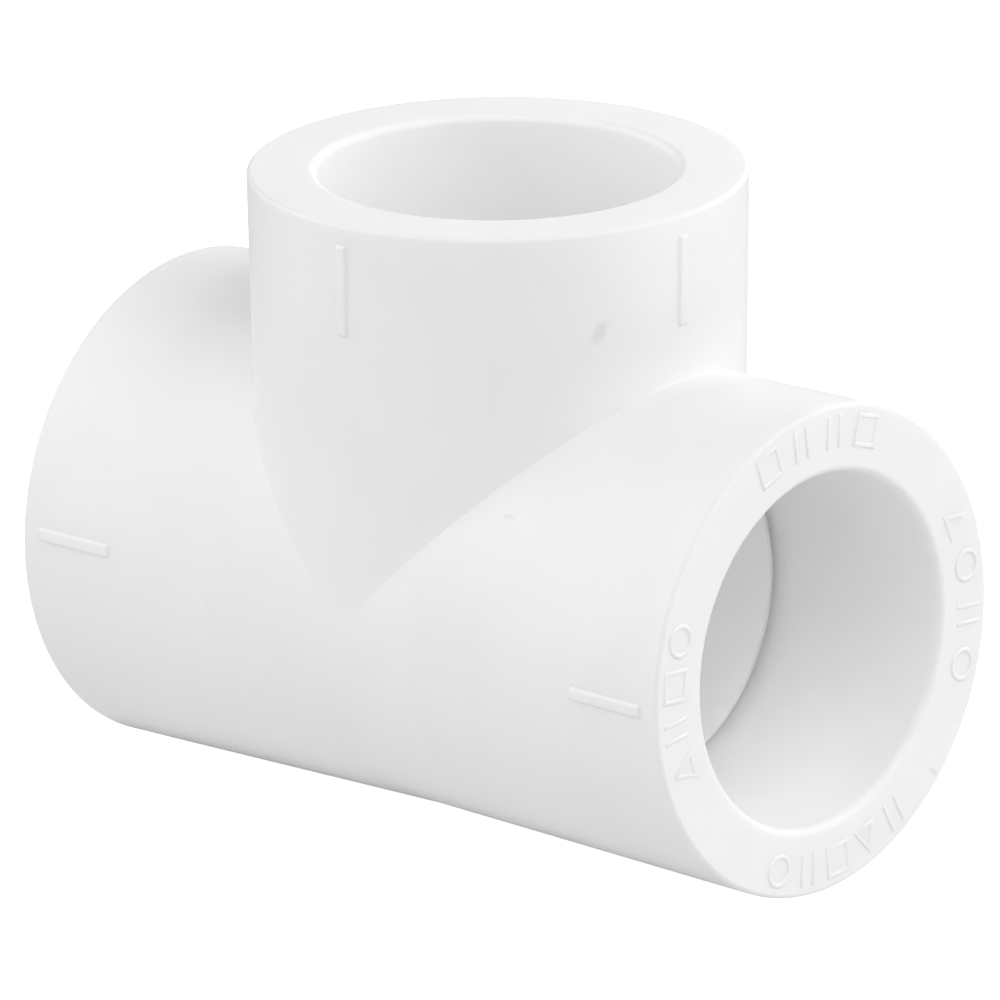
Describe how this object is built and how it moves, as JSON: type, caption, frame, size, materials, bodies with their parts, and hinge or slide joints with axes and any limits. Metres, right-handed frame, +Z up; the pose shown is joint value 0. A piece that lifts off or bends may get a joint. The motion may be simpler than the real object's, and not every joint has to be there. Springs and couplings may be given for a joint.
{
  "type": "equal pipe tee",
  "caption": "Equal tee for socket-fusion plastic pipe: a straight run with a branch at right angles, each ending in a deep pipe socket with a rounded lip and a pipe stop.",
  "frame": {"origin": "on the floor under the branch, midway between the run's two mouths, where the fitting lies on its run", "axes": "+Z up along the branch, +X along the run towards the mouth with the raised marks, -Y to the front"},
  "size_m": [0.0726, 0.0434, 0.0575],
  "materials": {
    "white_polypropylene": "satin moulded polypropylene, very slightly translucent"
  },
  "bodies": {
    "root": {"hub": "white_polypropylene", "branch_socket": "white_polypropylene", "right_run_socket": "white_polypropylene", "left_run_socket": "white_polypropylene", "branch_ribs": "white_polypropylene", "right_run_ribs": "white_polypropylene", "left_run_ribs": "white_polypropylene", "right_mouth_marks": "white_polypropylene"}
  },
  "joints": []
}
